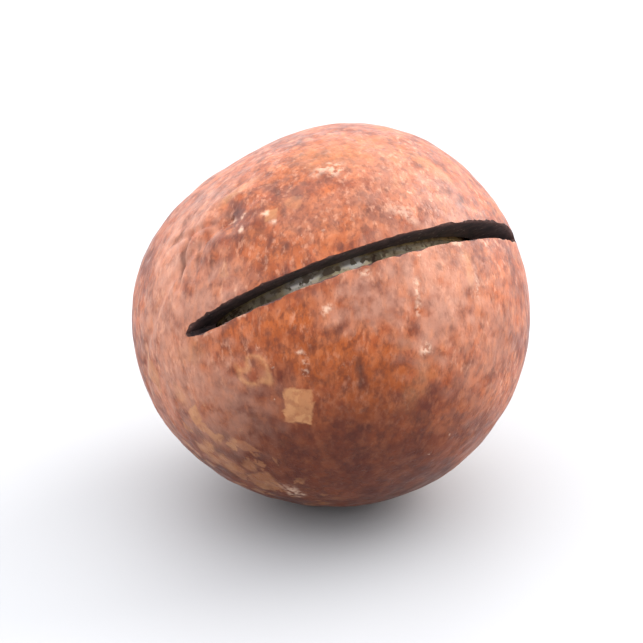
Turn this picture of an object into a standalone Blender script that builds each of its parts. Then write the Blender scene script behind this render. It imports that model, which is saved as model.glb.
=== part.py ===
"""A macadamia nut in its shell, with the saw slot that it is opened by.

Metres, +Z up. The nut rests on a small flat spot at z = 0, with the slot across its front,
which faces -Y. It is two pieces: the hollow shell, and the kernel that lies loose inside it.
"""
import math

import bpy
import bmesh
from mathutils import Matrix, Vector

# Size of the nut, in metres
FORM_RADIUS = 0.0126
WALL = 0.0023
REST_TRIM = 0.00017

# The nut's own axis runs from its pored end to its stalk end, and the suture joins the two
PORED_END = Vector((-0.50, -0.42, 0.76)).normalized()
SUTURE_SIDE = Vector((-0.78, -0.19, -0.60))

# Soft flattenings of the ball: where each lies, how deep it is and how far it spreads in radians
SHOULDER = Vector((-0.50, 0.30, 0.81)).normalized()
SHOULDER_DEPTH = 0.00122
SHOULDER_SPREAD = 0.61
UNDERSIDE = Vector((-0.09, -0.21, -0.97)).normalized()
UNDERSIDE_DEPTH = 0.00064
UNDERSIDE_SPREAD = 0.90
INNER_SHARE = 0.5

# Pore scar: a pit in a low ring, with the depths in metres and the reach in radians
PIT_DEPTH = 0.00030
PIT_SPREAD = 0.080
RING_HEIGHT = 0.00012
RING_ANGLE = 0.160
RING_SPREAD = 0.060

# Stalk scar: a shallow round hollow with a low rim
STALK_DEPTH = 0.00022
STALK_SPREAD = 0.20
RIM_HEIGHT = 0.00012
RIM_ANGLE = 0.29
RIM_SPREAD = 0.06

# Suture: a groove along one side, deepest at the pored end
SUTURE_DEPTH = 0.00022
SUTURE_HALF_WIDTH = 0.00042

# Saw slot: it lies in a plane close above the nut's middle, and its ends are angles in that plane
SLOT_RIGHT = Vector((0.932, 0.153, 0.328)).normalized()
SLOT_FRONT = Vector((-0.079, -0.799, 0.596)).normalized()
SLOT_ABOVE_MIDDLE = 0.00037
SLOT_WIDTH = 0.00128
SLOT_END_WIDTH = 0.00100
SLOT_FLOOR_RADIUS = 0.00965
SLOT_START = math.radians(-6)
SLOT_END = math.radians(133)
SLOT_RAMP = math.radians(3)
SLOT_TAPER = math.radians(35)
SLOT_RUN_OUT = math.radians(2)
SLOT_STEP = math.radians(3)
SLOT_REACH = 1.3

# Cavity and kernel
CANAL_DEPTH = 0.0008
CANAL_SPREAD = 0.24
KERNEL_CLEARANCE = 0.00043
KERNEL_DROP = 0.00012
TIP_HEIGHT = 0.0008
TIP_SPREAD = 0.15
RIDGE_HEIGHT = 0.00012
RIDGE_HALF_WIDTH = 0.0006

# Mesh fineness: divisions round the axis and along it, and how far they crowd to the features
SHELL_DIVISIONS = (72, 40)
CAVITY_DIVISIONS = (40, 20)
KERNEL_DIVISIONS = (44, 24)
SUTURE_CROWDING = 0.65
SHELL_POLE_CROWDING = 0.35
KERNEL_POLE_CROWDING = 0.25

# Finishes
SHELL_COLOUR = (0.337, 0.120, 0.061, 1.0)
SHELL_ROUGHNESS = 0.38
KERNEL_COLOUR = (0.880, 0.640, 0.300, 1.0)
KERNEL_ROUGHNESS = 0.45


def clear_scene():
    """Remove every object of the start scene."""
    for thing in list(bpy.data.objects):
        bpy.data.objects.remove(thing, do_unlink=True)


def nut_frame():
    """Turn the nut's own axes, suture side and pored end, into the world's axes."""
    along = PORED_END
    side = (SUTURE_SIDE - along * SUTURE_SIDE.dot(along)).normalized()
    return Matrix((side, along.cross(side), along)).transposed()


FRAME = nut_frame()


def bump(distance, spread):
    """A smooth hump: 1 at no distance, and close to nothing at two spreads."""
    return math.exp(-(distance / spread) ** 2)


def polar_angle(direction):
    """Angle of a direction from the pored end."""
    return direction.angle(PORED_END)


def flattening(direction):
    """How far the two soft flattenings lower the ball in a direction."""
    shoulder = SHOULDER_DEPTH * bump(direction.angle(SHOULDER), SHOULDER_SPREAD)
    underside = UNDERSIDE_DEPTH * bump(direction.angle(UNDERSIDE), UNDERSIDE_SPREAD)
    return shoulder + underside


def meridian_distance(direction):
    """Distance over the surface from the half plane that holds the suture."""
    own = FRAME.transposed() @ direction
    if own.x < 0:
        return FORM_RADIUS
    return FORM_RADIUS * abs(own.y)


def outer_radius(direction):
    """Radius of the shell's outside, with its scars and its suture."""
    polar = polar_angle(direction)
    pore = RING_HEIGHT * bump(polar - RING_ANGLE, RING_SPREAD)
    pore -= PIT_DEPTH * bump(polar, PIT_SPREAD)
    from_stalk = math.pi - polar
    stalk = RIM_HEIGHT * bump(from_stalk - RIM_ANGLE, RIM_SPREAD)
    stalk -= STALK_DEPTH * bump(from_stalk, STALK_SPREAD)
    fade = (1 - polar / math.pi) ** 2
    suture = SUTURE_DEPTH * fade * bump(meridian_distance(direction), SUTURE_HALF_WIDTH)
    return FORM_RADIUS - flattening(direction) + pore + stalk - suture


def cavity_radius(direction):
    """Radius of the hollow, with the short canal that the kernel's tip points into."""
    canal = CANAL_DEPTH * bump(polar_angle(direction), CANAL_SPREAD)
    return FORM_RADIUS - WALL - INNER_SHARE * flattening(direction) + canal


def kernel_radius(direction):
    """Radius of the kernel, with its pointed tip and the one ridge that fades from it."""
    polar = polar_angle(direction)
    body = FORM_RADIUS - WALL - INNER_SHARE * flattening(direction) - KERNEL_CLEARANCE
    tip = TIP_HEIGHT * bump(polar, TIP_SPREAD)
    ridge = RIDGE_HEIGHT * math.cos(polar / 2) ** 2 * bump(meridian_distance(direction), RIDGE_HALF_WIDTH)
    return body + tip + ridge


def form_ball(name, divisions, radius, centre, pole_crowding=0.0, suture_crowding=0.0):
    """Make a ball whose poles lie on the nut's axis, and draw each vertex out to its radius."""
    mesh = bpy.data.meshes.new(name)
    ball = bmesh.new()
    bmesh.ops.create_uvsphere(ball, u_segments=divisions[0], v_segments=divisions[1], radius=1.0)
    for vertex in ball.verts:
        place = vertex.co.normalized()
        polar = math.acos(max(-1.0, min(1.0, place.z)))
        polar -= pole_crowding * math.sin(2 * polar)
        round_axis = math.atan2(place.y, place.x)
        round_axis -= suture_crowding * math.sin(round_axis)
        own = Vector((math.sin(polar) * math.cos(round_axis),
                      math.sin(polar) * math.sin(round_axis),
                      math.cos(polar)))
        direction = FRAME @ own
        vertex.co = centre + direction * radius(direction)
    bmesh.ops.recalc_face_normals(ball, faces=ball.faces)
    ball.to_mesh(mesh)
    ball.free()
    mesh.shade_smooth()
    body = bpy.data.objects.new(name, mesh)
    bpy.context.collection.objects.link(body)
    return body


def slot_floor(angle):
    """Radius of the slot's floor at an angle, which climbs out to the surface at both ends."""
    from_end = min(angle - SLOT_START, SLOT_END - angle)
    climb = 1 - min(1.0, from_end / SLOT_RAMP)
    return SLOT_FLOOR_RADIUS + (FORM_RADIUS - SLOT_FLOOR_RADIUS) * climb


def slot_width(angle):
    """Width of the slot at an angle: it narrows a little towards both ends."""
    from_end = max(0.0, min(angle - SLOT_START, SLOT_END - angle))
    narrowing = (1 - min(1.0, from_end / SLOT_TAPER)) ** 2
    return SLOT_WIDTH - (SLOT_WIDTH - SLOT_END_WIDTH) * narrowing


def slot_cutter():
    """Make the blade's path: a square section swept round the nut in the slot's plane."""
    upward = SLOT_FRONT.cross(SLOT_RIGHT)
    middle = upward * SLOT_ABOVE_MIDDLE
    first = SLOT_START - SLOT_RUN_OUT
    last = SLOT_END + SLOT_RUN_OUT
    steps = round((last - first) / SLOT_STEP)
    cutter = bmesh.new()
    rings = []
    for step in range(steps + 1):
        angle = first + (last - first) * step / steps
        across = upward * (slot_width(angle) / 2)
        outward = SLOT_RIGHT * math.cos(angle) + SLOT_FRONT * math.sin(angle)
        inner = middle + outward * slot_floor(angle)
        outer = middle + outward * (FORM_RADIUS * SLOT_REACH)
        corners = (inner - across, outer - across, outer + across, inner + across)
        rings.append([cutter.verts.new(corner) for corner in corners])
    for ring, following in zip(rings, rings[1:]):
        for side in range(4):
            beside = (side + 1) % 4
            cutter.faces.new((ring[side], ring[beside], following[beside], following[side]))
    cutter.faces.new(rings[0])
    cutter.faces.new(rings[-1])
    bmesh.ops.recalc_face_normals(cutter, faces=cutter.faces)
    mesh = bpy.data.meshes.new("slot_cutter")
    cutter.to_mesh(mesh)
    cutter.free()
    body = bpy.data.objects.new("slot_cutter", mesh)
    bpy.context.collection.objects.link(body)
    return body


def trim_rest_spot(body):
    """Cut the small flat spot that the nut rests on, and return its height."""
    lowest = min(vertex.co.z for vertex in body.data.vertices)
    height = lowest + REST_TRIM
    shape = bmesh.new()
    shape.from_mesh(body.data)
    everything = shape.verts[:] + shape.edges[:] + shape.faces[:]
    cut = bmesh.ops.bisect_plane(shape, geom=everything, plane_co=(0, 0, height), plane_no=(0, 0, -1),
                                 clear_outer=True)
    rim = [edge for edge in cut["geom_cut"] if isinstance(edge, bmesh.types.BMEdge)]
    spot = bmesh.ops.contextual_create(shape, geom=rim)["faces"]
    for face in spot:
        face.smooth = False
    bmesh.ops.recalc_face_normals(shape, faces=shape.faces)
    shape.to_mesh(body.data)
    shape.free()
    return height


def cut_away(body, cutter):
    """Take the cutter's space out of the body, and leave the cutter as a hidden guide."""
    cut = body.modifiers.new(cutter.name, "BOOLEAN")
    cut.operation = "DIFFERENCE"
    cut.object = cutter
    cutter.hide_render = True
    cutter.display_type = "WIRE"


def give_material(body, colour, roughness):
    """Give a body its own finish."""
    finish = bpy.data.materials.new(body.name)
    finish.use_nodes = True
    shader = finish.node_tree.nodes["Principled BSDF"]
    shader.inputs["Base Color"].default_value = colour
    shader.inputs["Roughness"].default_value = roughness
    shader.inputs["Metallic"].default_value = 0.0
    body.data.materials.append(finish)


def stand_on_floor(bodies, shell, height):
    """Move everything so that the flat spot is at z = 0 and the shell's box is centred above it."""
    corners = [vertex.co for vertex in shell.data.vertices]
    middle = []
    for axis in (0, 1):
        reach = [corner[axis] for corner in corners]
        middle.append((min(reach) + max(reach)) / 2)
    move = Matrix.Translation((-middle[0], -middle[1], -height))
    for body in bodies:
        body.data.transform(move)


def build():
    """Make the shell and the kernel."""
    clear_scene()
    middle = Vector((0, 0, 0))
    shell = form_ball("shell", SHELL_DIVISIONS, outer_radius, middle, SHELL_POLE_CROWDING, SUTURE_CROWDING)
    height = trim_rest_spot(shell)
    cavity = form_ball("cavity_cutter", CAVITY_DIVISIONS, cavity_radius, middle)
    dropped = Vector((0, 0, -KERNEL_DROP))
    kernel = form_ball("kernel", KERNEL_DIVISIONS, kernel_radius, dropped, KERNEL_POLE_CROWDING)
    blade = slot_cutter()
    cut_away(shell, cavity)
    cut_away(shell, blade)
    cut_away(kernel, blade)
    stand_on_floor((shell, cavity, kernel, blade), shell, height)
    give_material(shell, SHELL_COLOUR, SHELL_ROUGHNESS)
    give_material(kernel, KERNEL_COLOUR, KERNEL_ROUGHNESS)


build()
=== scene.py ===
"""The looks of a macadamia nut in its shell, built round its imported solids.

Metres, +Z up. The nut lies on a pale floor with its sawn slot across the front, which faces -Y.
"""
import math

import bpy
import numpy as np
from mathutils import Matrix, Vector


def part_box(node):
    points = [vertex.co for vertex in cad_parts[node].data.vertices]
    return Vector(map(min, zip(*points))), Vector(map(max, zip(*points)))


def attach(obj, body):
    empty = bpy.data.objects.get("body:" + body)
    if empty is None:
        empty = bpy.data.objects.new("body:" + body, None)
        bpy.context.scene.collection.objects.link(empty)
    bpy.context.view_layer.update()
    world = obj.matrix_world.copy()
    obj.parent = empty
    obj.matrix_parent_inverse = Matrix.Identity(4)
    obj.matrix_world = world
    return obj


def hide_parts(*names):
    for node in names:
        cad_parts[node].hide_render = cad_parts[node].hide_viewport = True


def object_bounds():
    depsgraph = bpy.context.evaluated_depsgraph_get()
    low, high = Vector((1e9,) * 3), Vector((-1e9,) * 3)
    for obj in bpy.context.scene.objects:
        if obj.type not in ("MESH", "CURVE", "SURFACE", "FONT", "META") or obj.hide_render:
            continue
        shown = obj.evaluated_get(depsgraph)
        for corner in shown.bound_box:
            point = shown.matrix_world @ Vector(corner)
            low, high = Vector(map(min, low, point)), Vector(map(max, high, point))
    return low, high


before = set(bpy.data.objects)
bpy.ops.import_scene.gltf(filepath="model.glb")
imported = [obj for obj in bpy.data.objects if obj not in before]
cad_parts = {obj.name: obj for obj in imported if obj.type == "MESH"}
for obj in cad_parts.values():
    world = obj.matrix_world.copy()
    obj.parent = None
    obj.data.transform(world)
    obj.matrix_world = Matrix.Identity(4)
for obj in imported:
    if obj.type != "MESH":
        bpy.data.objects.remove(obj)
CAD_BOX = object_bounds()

# The nut's form, in metres and radians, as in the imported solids
FORM_RADIUS = 0.0126
WALL = 0.0023
REST_TRIM = 0.00017
PORED_END = Vector((-0.50, -0.42, 0.76)).normalized()
SUTURE_SIDE = Vector((-0.78, -0.19, -0.60))
SHOULDER = Vector((-0.50, 0.30, 0.81)).normalized()
SHOULDER_DEPTH = 0.00122
SHOULDER_SPREAD = 0.61
UNDERSIDE = Vector((-0.09, -0.21, -0.97)).normalized()
UNDERSIDE_DEPTH = 0.00064
UNDERSIDE_SPREAD = 0.90
INNER_SHARE = 0.5
PIT_DEPTH = 0.00030
PIT_SPREAD = 0.080
RING_HEIGHT = 0.00012
RING_ANGLE = 0.160
RING_SPREAD = 0.060
STALK_DEPTH = 0.00022
STALK_SPREAD = 0.20
RIM_HEIGHT = 0.00012
RIM_ANGLE = 0.29
RIM_SPREAD = 0.06
SUTURE_DEPTH = 0.00022
SUTURE_HALF_WIDTH = 0.00030
CANAL_DEPTH = 0.0008
CANAL_SPREAD = 0.24
KERNEL_CLEARANCE = 0.00043
KERNEL_DROP = 0.00012
TIP_HEIGHT = 0.0008
TIP_SPREAD = 0.15
RIDGE_HEIGHT = 0.00012
RIDGE_HALF_WIDTH = 0.0006

# The saw slot
SLOT_RIGHT = Vector((0.932, 0.153, 0.328)).normalized()
SLOT_FRONT = Vector((-0.079, -0.799, 0.596)).normalized()
SLOT_UP = SLOT_FRONT.cross(SLOT_RIGHT).normalized()
SLOT_ABOVE_MIDDLE = 0.00026
SLOT_WIDTH = 0.00114
SLOT_END_WIDTH = 0.00082
SLOT_FLOOR_RADIUS = 0.00965
SLOT_START = math.radians(0)
SLOT_END = math.radians(133.6)
SLOT_RAMP = math.radians(3)
SLOT_TAPER = math.radians(35)
SLOT_RUN_OUT = math.radians(1.5)
SLOT_ROUNDING = math.radians(11)
SLOT_BLUNTNESS = 0.02
SLOT_REACH = 0.0145

# How the saw left the slot's lips, in metres: the broken edge, the chatter of the blade and the chips
LIP_DEPTH = 0.0004
LIP_RISE = 0.0002
LIP_WIDENING = 0.00003
LIP_ROUNDING = 0.00008
CHATTER = 0.000012
CHATTER_TURNS = 190
CHATTER_SLANT = 9000
CHATTER_SWELL = 31
CHIPS = 46
CHIP_SEED = 41
CHIP_REACH = (0.00010, 0.00045)
CHIP_DEPTH = (0.00003, 0.00017)
CHIP_HEIGHT = (0.00008, 0.00028)

# Layers of unevenness: the height and the wavelength in metres, and the draw that gives each
SKIN_WAVES = ((0.000026, 0.0062, 11), (0.000022, 0.0026, 12), (0.000010, 0.0011, 13))
LINING_WAVES = ((0.00003, 0.004, 21),)
KERNEL_WAVES = ((0.00005, 0.0050, 31), (0.000018, 0.0016, 32), (0.000008, 0.0007, 33))
WAVE_COUNT = 48
WAVE_PEAK = 0.6

# Small round dimples of the skin, in metres
DIMPLES = 150
DIMPLE_SEED = 14
DIMPLE_REACH = (0.00020, 0.00042)
DIMPLE_DEPTH = 0.00005
SHALLOWEST_DIMPLE = 0.4

# The photograph's view of the nut: the camera's height, and the ball's middle and radius in pixels
VIEW_HEIGHT = math.radians(26)
SEEN_MIDDLE = (154.58, 302.6)
SEEN_RADIUS = 81.66
PIXEL = FORM_RADIUS / SEEN_RADIUS
VIEW_RIGHT = Vector((1, 0, 0))
VIEW_UP = Vector((0, math.sin(VIEW_HEIGHT), math.cos(VIEW_HEIGHT)))
VIEW_BACK = Vector((0, -math.cos(VIEW_HEIGHT), math.sin(VIEW_HEIGHT)))

# Mesh fineness
SHELL_CUTS = 100
LINING_CUTS = 44
KERNEL_CUTS = 60
BLADE_STEPS = 260
BLADE_CUTS = 15
BLADE_INSIDE = 1.5
BLADE_WALL_SHARE = 0.4
BLADE_LIP_SHARE = 0.9
SMOOTH_ANGLE = math.radians(38)
SOFT_EDGE = 0.19

# Places in the piece's list of finishes
SKIN, SAWN, LINING = 0, 1, 2


def nut_turn():
    """The turn from the nut's own axes, suture side and pored end, to the world's axes."""
    side = (SUTURE_SIDE - PORED_END * SUTURE_SIDE.dot(PORED_END)).normalized()
    return Matrix((side, PORED_END.cross(side), PORED_END)).transposed()


NUT_TURN = nut_turn()


def seen(x, y, radius=FORM_RADIUS):
    """Direction from the nut's middle to the point at a radius that a pixel of the photograph shows."""
    right = (x - SEEN_MIDDLE[0]) * PIXEL / radius
    up = (SEEN_MIDDLE[1] - y) * PIXEL / radius
    near = math.sqrt(max(0.0, 1 - right * right - up * up))
    return (VIEW_RIGHT * right + VIEW_UP * up + VIEW_BACK * near).normalized()


def hump(distance, spread):
    """A smooth hump: 1 at no distance, and close to nothing at two spreads."""
    return np.exp(-(distance / spread) ** 2)


def angles_to(directions, centre):
    """Angle of each direction from one centre."""
    return np.arccos(np.clip(directions @ np.array(centre), -1, 1))


def flattening(directions):
    """How far the two soft flattenings lower the ball."""
    shoulder = SHOULDER_DEPTH * hump(angles_to(directions, SHOULDER), SHOULDER_SPREAD)
    underside = UNDERSIDE_DEPTH * hump(angles_to(directions, UNDERSIDE), UNDERSIDE_SPREAD)
    return shoulder + underside


def suture_distance(directions):
    """Distance over the skin from the half plane that holds the suture."""
    own = directions @ np.array(NUT_TURN)
    return np.where(own[:, 0] < 0, FORM_RADIUS, FORM_RADIUS * np.abs(own[:, 1]))


def outer_radius(directions):
    """Radius of the skin, with its scars and its suture but without the fine relief."""
    polar = angles_to(directions, PORED_END)
    pore = RING_HEIGHT * hump(polar - RING_ANGLE, RING_SPREAD) - PIT_DEPTH * hump(polar, PIT_SPREAD)
    from_stalk = np.pi - polar
    stalk = RIM_HEIGHT * hump(from_stalk - RIM_ANGLE, RIM_SPREAD)
    stalk -= STALK_DEPTH * hump(from_stalk, STALK_SPREAD)
    fade = (1 - polar / np.pi) ** 2
    suture = SUTURE_DEPTH * fade * hump(suture_distance(directions), SUTURE_HALF_WIDTH)
    return FORM_RADIUS - flattening(directions) + pore + stalk - suture


def lining_radius(directions):
    """Radius of the hollow, with the canal under the pore."""
    canal = CANAL_DEPTH * hump(angles_to(directions, PORED_END), CANAL_SPREAD)
    return FORM_RADIUS - WALL - INNER_SHARE * flattening(directions) + canal


def kernel_radius(directions):
    """Radius of the kernel, with its pointed tip and its ridge."""
    polar = angles_to(directions, PORED_END)
    body = FORM_RADIUS - WALL - INNER_SHARE * flattening(directions) - KERNEL_CLEARANCE
    tip = TIP_HEIGHT * hump(polar, TIP_SPREAD)
    ridge = RIDGE_HEIGHT * np.cos(polar / 2) ** 2 * hump(suture_distance(directions), RIDGE_HALF_WIDTH)
    return body + tip + ridge


def waves(directions, wavelength, seed):
    """A smooth random unevenness of one wavelength over the ball, mostly between -1 and 1."""
    draw = np.random.default_rng(seed)
    ways = draw.normal(size=(WAVE_COUNT, 3))
    ways /= np.linalg.norm(ways, axis=1)[:, None]
    phases = draw.uniform(0, 2 * np.pi, WAVE_COUNT)
    turns = 2 * np.pi * FORM_RADIUS / wavelength
    total = np.sin(directions @ ways.T * turns + phases).sum(axis=1)
    return total / math.sqrt(WAVE_COUNT / 2) * WAVE_PEAK


def unevenness(directions, layers):
    """The height that several layers of waves give together."""
    return sum(height * waves(directions, wavelength, seed) for height, wavelength, seed in layers)


def dimples(directions):
    """Small round dimples strewn over the skin: how far they lower it."""
    draw = np.random.default_rng(DIMPLE_SEED)
    places = draw.normal(size=(DIMPLES, 3))
    places /= np.linalg.norm(places, axis=1)[:, None]
    depth = np.zeros(len(directions))
    for place in places:
        reach = draw.uniform(*DIMPLE_REACH) / FORM_RADIUS
        deep = draw.uniform(SHALLOWEST_DIMPLE, 1.0) * DIMPLE_DEPTH
        near = directions @ place > math.cos(3 * reach)
        depth[near] = np.maximum(depth[near], deep * hump(angles_to(directions[near], place), reach))
    return depth


def crease(directions, ends, depth, half_width):
    """A short crease between two points of the skin, deepest at its middle."""
    start, end = (np.array(seen(*point)) for point in ends)
    along = end - start
    share = np.clip((directions - start) @ along / (along @ along), 0, 1)
    away = np.linalg.norm(directions - start - share[:, None] * along, axis=1) * FORM_RADIUS
    inward = CREASE_ENDS + (1 - 2 * CREASE_ENDS) * share
    return depth * hump(away, half_width) * np.sin(np.pi * inward)


# Creases that fan out beside the pore: the two ends of each in the photograph's pixels,
# its depth and its half width in metres. The sine that shapes each starts a little way in
CREASE_ENDS = 0.15
CREASES = (
    (((107, 265), (88, 274)), 0.00026, 0.00020),
    (((97, 268), (93, 291)), 0.00034, 0.00022),
    (((104, 270), (99, 288)), 0.00020, 0.00020),
    (((108, 273), (111, 286)), 0.00012, 0.00020),
    (((120, 259), (140, 243)), 0.00006, 0.00022),
    (((112, 252), (121, 243)), 0.00006, 0.00022),
    (((166, 319), (167, 334)), 0.00007, 0.00018),
)

# Where the skin is coarser, among the creases, at the pore and at the stalk scar: the middle of each
# place, how far it spreads in radians, and its layer of unevenness
COARSE_PLACES = (
    (seen(99, 280), 0.26, (0.00006, 0.0020, 17)),
    (PORED_END, 0.16, (0.00004, 0.0007, 15)),
    (-PORED_END, 0.30, (0.00005, 0.0009, 16)),
)


def skin_radius(directions):
    """Radius of the finished skin: the form, gentle unevenness, dimples and creases."""
    radius = outer_radius(directions) + unevenness(directions, SKIN_WAVES)
    radius -= dimples(directions)
    for ends, depth, half_width in CREASES:
        radius -= crease(directions, ends, depth, half_width)
    for centre, spread, layer in COARSE_PLACES:
        radius += hump(angles_to(directions, centre), spread) * unevenness(directions, (layer,))
    return radius


def worn_lining_radius(directions):
    """Radius of the hollow with the slight unevenness of its lining."""
    return lining_radius(directions) + unevenness(directions, LINING_WAVES)


def uneven_kernel_radius(directions):
    """Radius of the kernel with the soft dents and grain of a roasted nut."""
    return kernel_radius(directions) + unevenness(directions, KERNEL_WAVES)


def start_piece(name):
    """Name the object that was just added, and its mesh."""
    body = bpy.context.object
    body.name = name
    body.data.name = name
    return body


def vertex_places(body):
    """The places of a mesh's vertices, as rows."""
    places = np.empty(len(body.data.vertices) * 3)
    body.data.vertices.foreach_get("co", places)
    return places.reshape(-1, 3)


def set_vertex_places(body, places):
    """Put a mesh's vertices at new places."""
    body.data.vertices.foreach_set("co", np.ascontiguousarray(places).ravel())
    body.data.update()


def ball(name, cuts, radius, middle=(0, 0, 0)):
    """Add a ball of even square faces, a cube drawn to a sphere, and set its radius by a formula."""
    bpy.ops.object.select_all(action="DESELECT")
    bpy.ops.mesh.primitive_cube_add(size=2, location=(0, 0, 0))
    body = start_piece(name)
    bpy.ops.object.mode_set(mode="EDIT")
    bpy.ops.mesh.select_all(action="SELECT")
    bpy.ops.mesh.subdivide(number_cuts=cuts)
    bpy.ops.object.mode_set(mode="OBJECT")
    set_vertex_places(body, np.tan(vertex_places(body) * (np.pi / 4)))
    bpy.ops.object.mode_set(mode="EDIT")
    bpy.ops.mesh.select_all(action="SELECT")
    bpy.ops.transform.tosphere(value=1.0)
    bpy.ops.mesh.normals_make_consistent(inside=False)
    bpy.ops.object.mode_set(mode="OBJECT")
    directions = vertex_places(body)
    directions /= np.linalg.norm(directions, axis=1)[:, None]
    set_vertex_places(body, directions * radius(directions)[:, None] + np.array(middle))
    return body


def make_active(body):
    """Select one object alone."""
    bpy.ops.object.select_all(action="DESELECT")
    body.select_set(True)
    bpy.context.view_layer.objects.active = body


def trim_rest_spot(body, height):
    """Bisect the ball at the height of its flat spot, and fill the cut."""
    make_active(body)
    bpy.ops.object.mode_set(mode="EDIT")
    bpy.ops.mesh.select_all(action="SELECT")
    bpy.ops.mesh.bisect(plane_co=(0, 0, height), plane_no=(0, 0, -1), use_fill=True, clear_outer=True,
                        threshold=1e-7)
    bpy.ops.object.mode_set(mode="OBJECT")


def slot_directions(angles):
    """Directions from the nut's middle along the slot."""
    right, front = np.array(SLOT_RIGHT), np.array(SLOT_FRONT)
    return np.cos(angles)[:, None] * right + np.sin(angles)[:, None] * front


def from_slot_end(angles):
    """How far inside the nearer end of the slot each angle is."""
    return np.minimum(angles - SLOT_START, SLOT_END - angles)


def slot_floor(angles):
    """Radius of the slot's floor, which climbs out to the skin at both ends."""
    climb = 1 - np.minimum(1, from_slot_end(angles) / SLOT_RAMP)
    return SLOT_FLOOR_RADIUS + (FORM_RADIUS - SLOT_FLOOR_RADIUS) * climb


def slot_half_width(angles):
    """Half the slot's width, which narrows towards both ends and is rounded at their tips."""
    inside = from_slot_end(angles)
    narrowing = (1 - np.clip(inside / SLOT_TAPER, 0, 1)) ** 2
    tip = 1 - np.clip(inside / SLOT_ROUNDING, 0, 1)
    rounded = np.sqrt(np.maximum(SLOT_BLUNTNESS, 1 - tip ** 2))
    return (SLOT_WIDTH - (SLOT_WIDTH - SLOT_END_WIDTH) * narrowing) * rounded / 2


def lip_chips(angles, below_skin, side):
    """Chips that the saw broke off one lip of the slot: how far each opens it."""
    draw = np.random.default_rng(CHIP_SEED + side)
    opened = np.zeros(len(angles))
    for _ in range(CHIPS):
        place = draw.uniform(SLOT_START, SLOT_END)
        reach = draw.uniform(*CHIP_REACH) / FORM_RADIUS
        deep = draw.uniform(*CHIP_DEPTH)
        height = draw.uniform(*CHIP_HEIGHT)
        share = hump(angles - place, reach) * np.clip(1 - below_skin / height, 0, 1)
        opened = np.maximum(opened, deep * share)
    return opened


def blade_radii(angles, out):
    """Radii of the skin and of the blade's points. Out runs from 0 at the slot's floor to 1 at the rim.

    Its first stretch climbs the wall, its second takes fine steps through the lip, and its last
    reaches clear of the nut.
    """
    floor = slot_floor(angles)
    skin = outer_radius(slot_directions(angles))
    lip = skin - LIP_DEPTH
    wall_radii = floor + (lip - floor) * (out / BLADE_WALL_SHARE)
    climb = (out - BLADE_WALL_SHARE) / (BLADE_LIP_SHARE - BLADE_WALL_SHARE)
    radii = np.where(out < BLADE_WALL_SHARE, wall_radii, lip + (LIP_DEPTH + LIP_RISE) * climb)
    radii = np.where(out > BLADE_LIP_SHARE, SLOT_REACH, radii)
    return skin, np.maximum(radii, floor + out * LIP_RISE)


def slot_blade():
    """Sweep the saw's section round the nut: a subdivided plane, spun, then roughened as sawn shell is."""
    bpy.ops.object.select_all(action="DESELECT")
    bpy.ops.mesh.primitive_plane_add(size=1, location=(0, 0, 0), rotation=(math.pi / 2, 0, 0))
    blade = start_piece("blade")
    bpy.ops.object.transform_apply(location=True, rotation=True, scale=True)
    first = SLOT_START - SLOT_RUN_OUT
    sweep = SLOT_END + SLOT_RUN_OUT - first
    bpy.ops.object.mode_set(mode="EDIT")
    bpy.ops.mesh.select_all(action="SELECT")
    bpy.ops.mesh.subdivide(number_cuts=BLADE_CUTS)
    bpy.ops.transform.translate(value=(BLADE_INSIDE + 0.5, 0, 0))
    bpy.ops.mesh.spin(steps=BLADE_STEPS, angle=sweep, center=(0, 0, 0), axis=(0, 0, 1))
    bpy.ops.mesh.select_all(action="SELECT")
    bpy.ops.mesh.remove_doubles(threshold=1e-6)
    bpy.ops.mesh.normals_make_consistent(inside=False)
    bpy.ops.object.mode_set(mode="OBJECT")
    places = vertex_places(blade)
    turned = np.arctan2(places[:, 1], places[:, 0])
    if turned.min() < -sweep / 2:
        turned = -turned
    angles = first + turned
    out = np.hypot(places[:, 0], places[:, 1]) - BLADE_INSIDE
    skin, radii = blade_radii(angles, out)
    across = places[:, 2] * 2
    side = np.sign(across)
    below_skin = np.maximum(0, skin - radii)
    swell = 0.5 + 0.5 * np.sin(angles * CHATTER_SWELL)
    widen = LIP_WIDENING * hump(below_skin, LIP_ROUNDING)
    widen = widen + CHATTER * swell * np.sin(angles * CHATTER_TURNS + radii * CHATTER_SLANT)
    for number, way in enumerate((1, -1)):
        chips = lip_chips(angles, below_skin, number)
        widen = widen + np.where(side == way, chips, 0)
    height = across * slot_half_width(angles) + np.where(np.abs(across) > 0.999, side * widen, 0)
    raised = (height + SLOT_ABOVE_MIDDLE)[:, None] * np.array(SLOT_UP)
    set_vertex_places(blade, slot_directions(angles) * radii[:, None] + raised)
    bpy.ops.object.mode_set(mode="EDIT")
    bpy.ops.mesh.select_all(action="SELECT")
    bpy.ops.mesh.normals_make_consistent(inside=False)
    bpy.ops.object.mode_set(mode="OBJECT")
    return blade


def set_finish_index(body, index):
    """Give every face of a mesh one place in its list of finishes."""
    body.data.polygons.foreach_set("material_index", np.full(len(body.data.polygons), index, np.int32))


def saw(body, blade):
    """Cut the blade's path out of a body, and apply the cut."""
    make_active(body)
    cut = body.modifiers.new("saw", "BOOLEAN")
    cut.operation = "DIFFERENCE"
    cut.solver = "MANIFOLD"
    cut.object = blade
    bpy.ops.object.modifier_apply(modifier=cut.name)


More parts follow.
